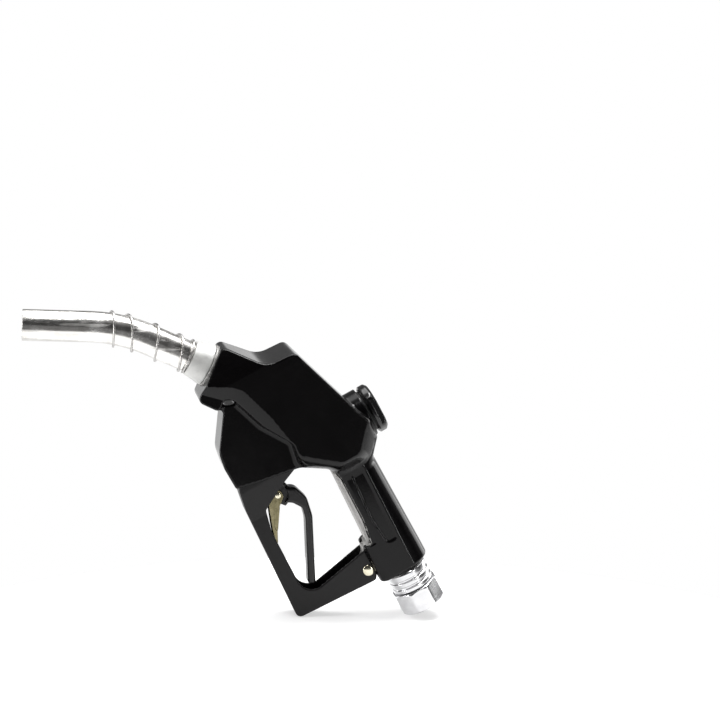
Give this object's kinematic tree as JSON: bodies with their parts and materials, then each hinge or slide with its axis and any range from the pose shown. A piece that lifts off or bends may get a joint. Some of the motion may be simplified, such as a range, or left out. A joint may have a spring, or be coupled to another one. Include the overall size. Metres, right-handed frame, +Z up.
{
  "type": "fuel nozzle",
  "caption": "Hand-held trigger nozzle with a bent metal spout, covered grip, guarded lever, hold-open clip and swivel hose inlet.",
  "frame": {"origin": "centre of the nozzle's box at the ground it stands on", "axes": "+X from the spout's tip towards the hose end, +Y away from the side seen first, +Z up; the nozzle is symmetric about Y = 0"},
  "size_m": [0.358, 0.06, 0.2499],
  "materials": {
    "black_vinyl": "glossy black soft vinyl",
    "cast_body": "grey cast aluminium",
    "spout_aluminium": "polished aluminium with light scratches",
    "turned_aluminium": "turned aluminium",
    "collar_metal": "matt grey aluminium",
    "steel_wire": "stainless spring wire",
    "guard_black": "satin black",
    "lever_black": "satin black coated metal",
    "cap_black": "glossy black",
    "brass": "machined brass",
    "plated_rivet": "bright plated rivet",
    "clip_zinc": "yellow passivated steel sheet",
    "steel_pin": "ground steel",
    "seal_rubber": "black rubber"
  },
  "bodies": {
    "body": {"body_casting": "cast_body", "scuff_cover": "black_vinyl", "spout_collar": "collar_metal", "spout_tube": "spout_aluminium", "spout_o_ring": "seal_rubber", "spout_spring": "steel_wire", "sensing_tube": "steel_pin", "check_valve_guide": "brass", "check_valve_seat": "brass", "check_valve_spring": "steel_wire", "main_valve_seat": "brass", "main_spring": "steel_wire", "valve_cap": "cap_black", "cap_o_ring": "seal_rubber", "stem_gland": "brass", "stem_seal": "seal_rubber", "diaphragm": "seal_rubber", "diaphragm_cap": "brass", "diaphragm_spring": "steel_wire", "plunger_spring": "steel_wire", "lever_guard": "guard_black", "guard_rivet": "plated_rivet", "guard_screws": "steel_pin", "swivel_adaptor": "turned_aluminium", "swivel_seal": "seal_rubber", "inlet_strainer": "steel_wire"},
    "plunger": {"plunger": "steel_pin", "fulcrum_pin": "steel_pin", "latch_balls": "steel_pin"},
    "lever": {"lever": "lever_black", "clip_rivet": "plated_rivet", "clip_spring": "steel_wire"},
    "clip": {"hold_open_clip": "clip_zinc"},
    "main_valve": {"valve_stem": "steel_pin", "main_poppet": "brass", "poppet_seal": "seal_rubber"},
    "check_valve": {"check_valve_poppet": "brass"},
    "latch": {"latch_pin": "steel_pin"},
    "swivel": {"swivel_nut": "turned_aluminium", "hose_gasket": "seal_rubber"}
  },
  "joints": [
    {"name": "plunger_slide", "type": "slide", "parent": "body", "child": "plunger", "axis": [0.8517, 0, 0.524], "range_m": [-0.006, 0], "stiffness_N_per_m": 600, "springref_m": 0.004, "deforming": ["plunger_spring"]},
    {"name": "lever_hinge", "type": "hinge", "parent": "plunger", "child": "lever", "pos_m": [0.00365, 0, 0.15231], "axis": [0, -1, 0], "range_deg": [0, 16], "stiffness_Nm_per_rad": 0.6, "springref_deg": -22.92},
    {"name": "clip_hinge", "type": "hinge", "parent": "lever", "child": "clip", "pos_m": [0.03131, 0, 0.1024], "axis": [0, -1, 0], "range_deg": [0, 16], "stiffness_Nm_per_rad": 0.01},
    {"name": "main_valve_slide", "type": "slide", "parent": "body", "child": "main_valve", "axis": [0.8517, 0, 0.524], "range_m": [0, 0.00988], "deforming": ["main_spring"]},
    {"name": "check_valve_slide", "type": "slide", "parent": "body", "child": "check_valve", "axis": [-0.9311, 0, 0.3649], "range_m": [0, 0.005], "stiffness_N_per_m": 300, "springref_m": -0.003, "deforming": ["check_valve_spring"]},
    {"name": "latch_slide", "type": "slide", "parent": "body", "child": "latch", "axis": [0.8517, 0, 0.524], "range_m": [0, 0.003], "stiffness_N_per_m": 300, "springref_m": -0.002, "deforming": ["diaphragm", "diaphragm_spring"]},
    {"name": "swivel_spin", "type": "hinge", "parent": "body", "child": "swivel", "pos_m": [0.15674, 0, 0.01989], "axis": [0.524, 0, -0.8517], "continuous": true}
  ],
  "couplings": [
    {"joint": "main_valve_slide", "follows": "lever_hinge", "m_per_rad": 0.03467}
  ]
}
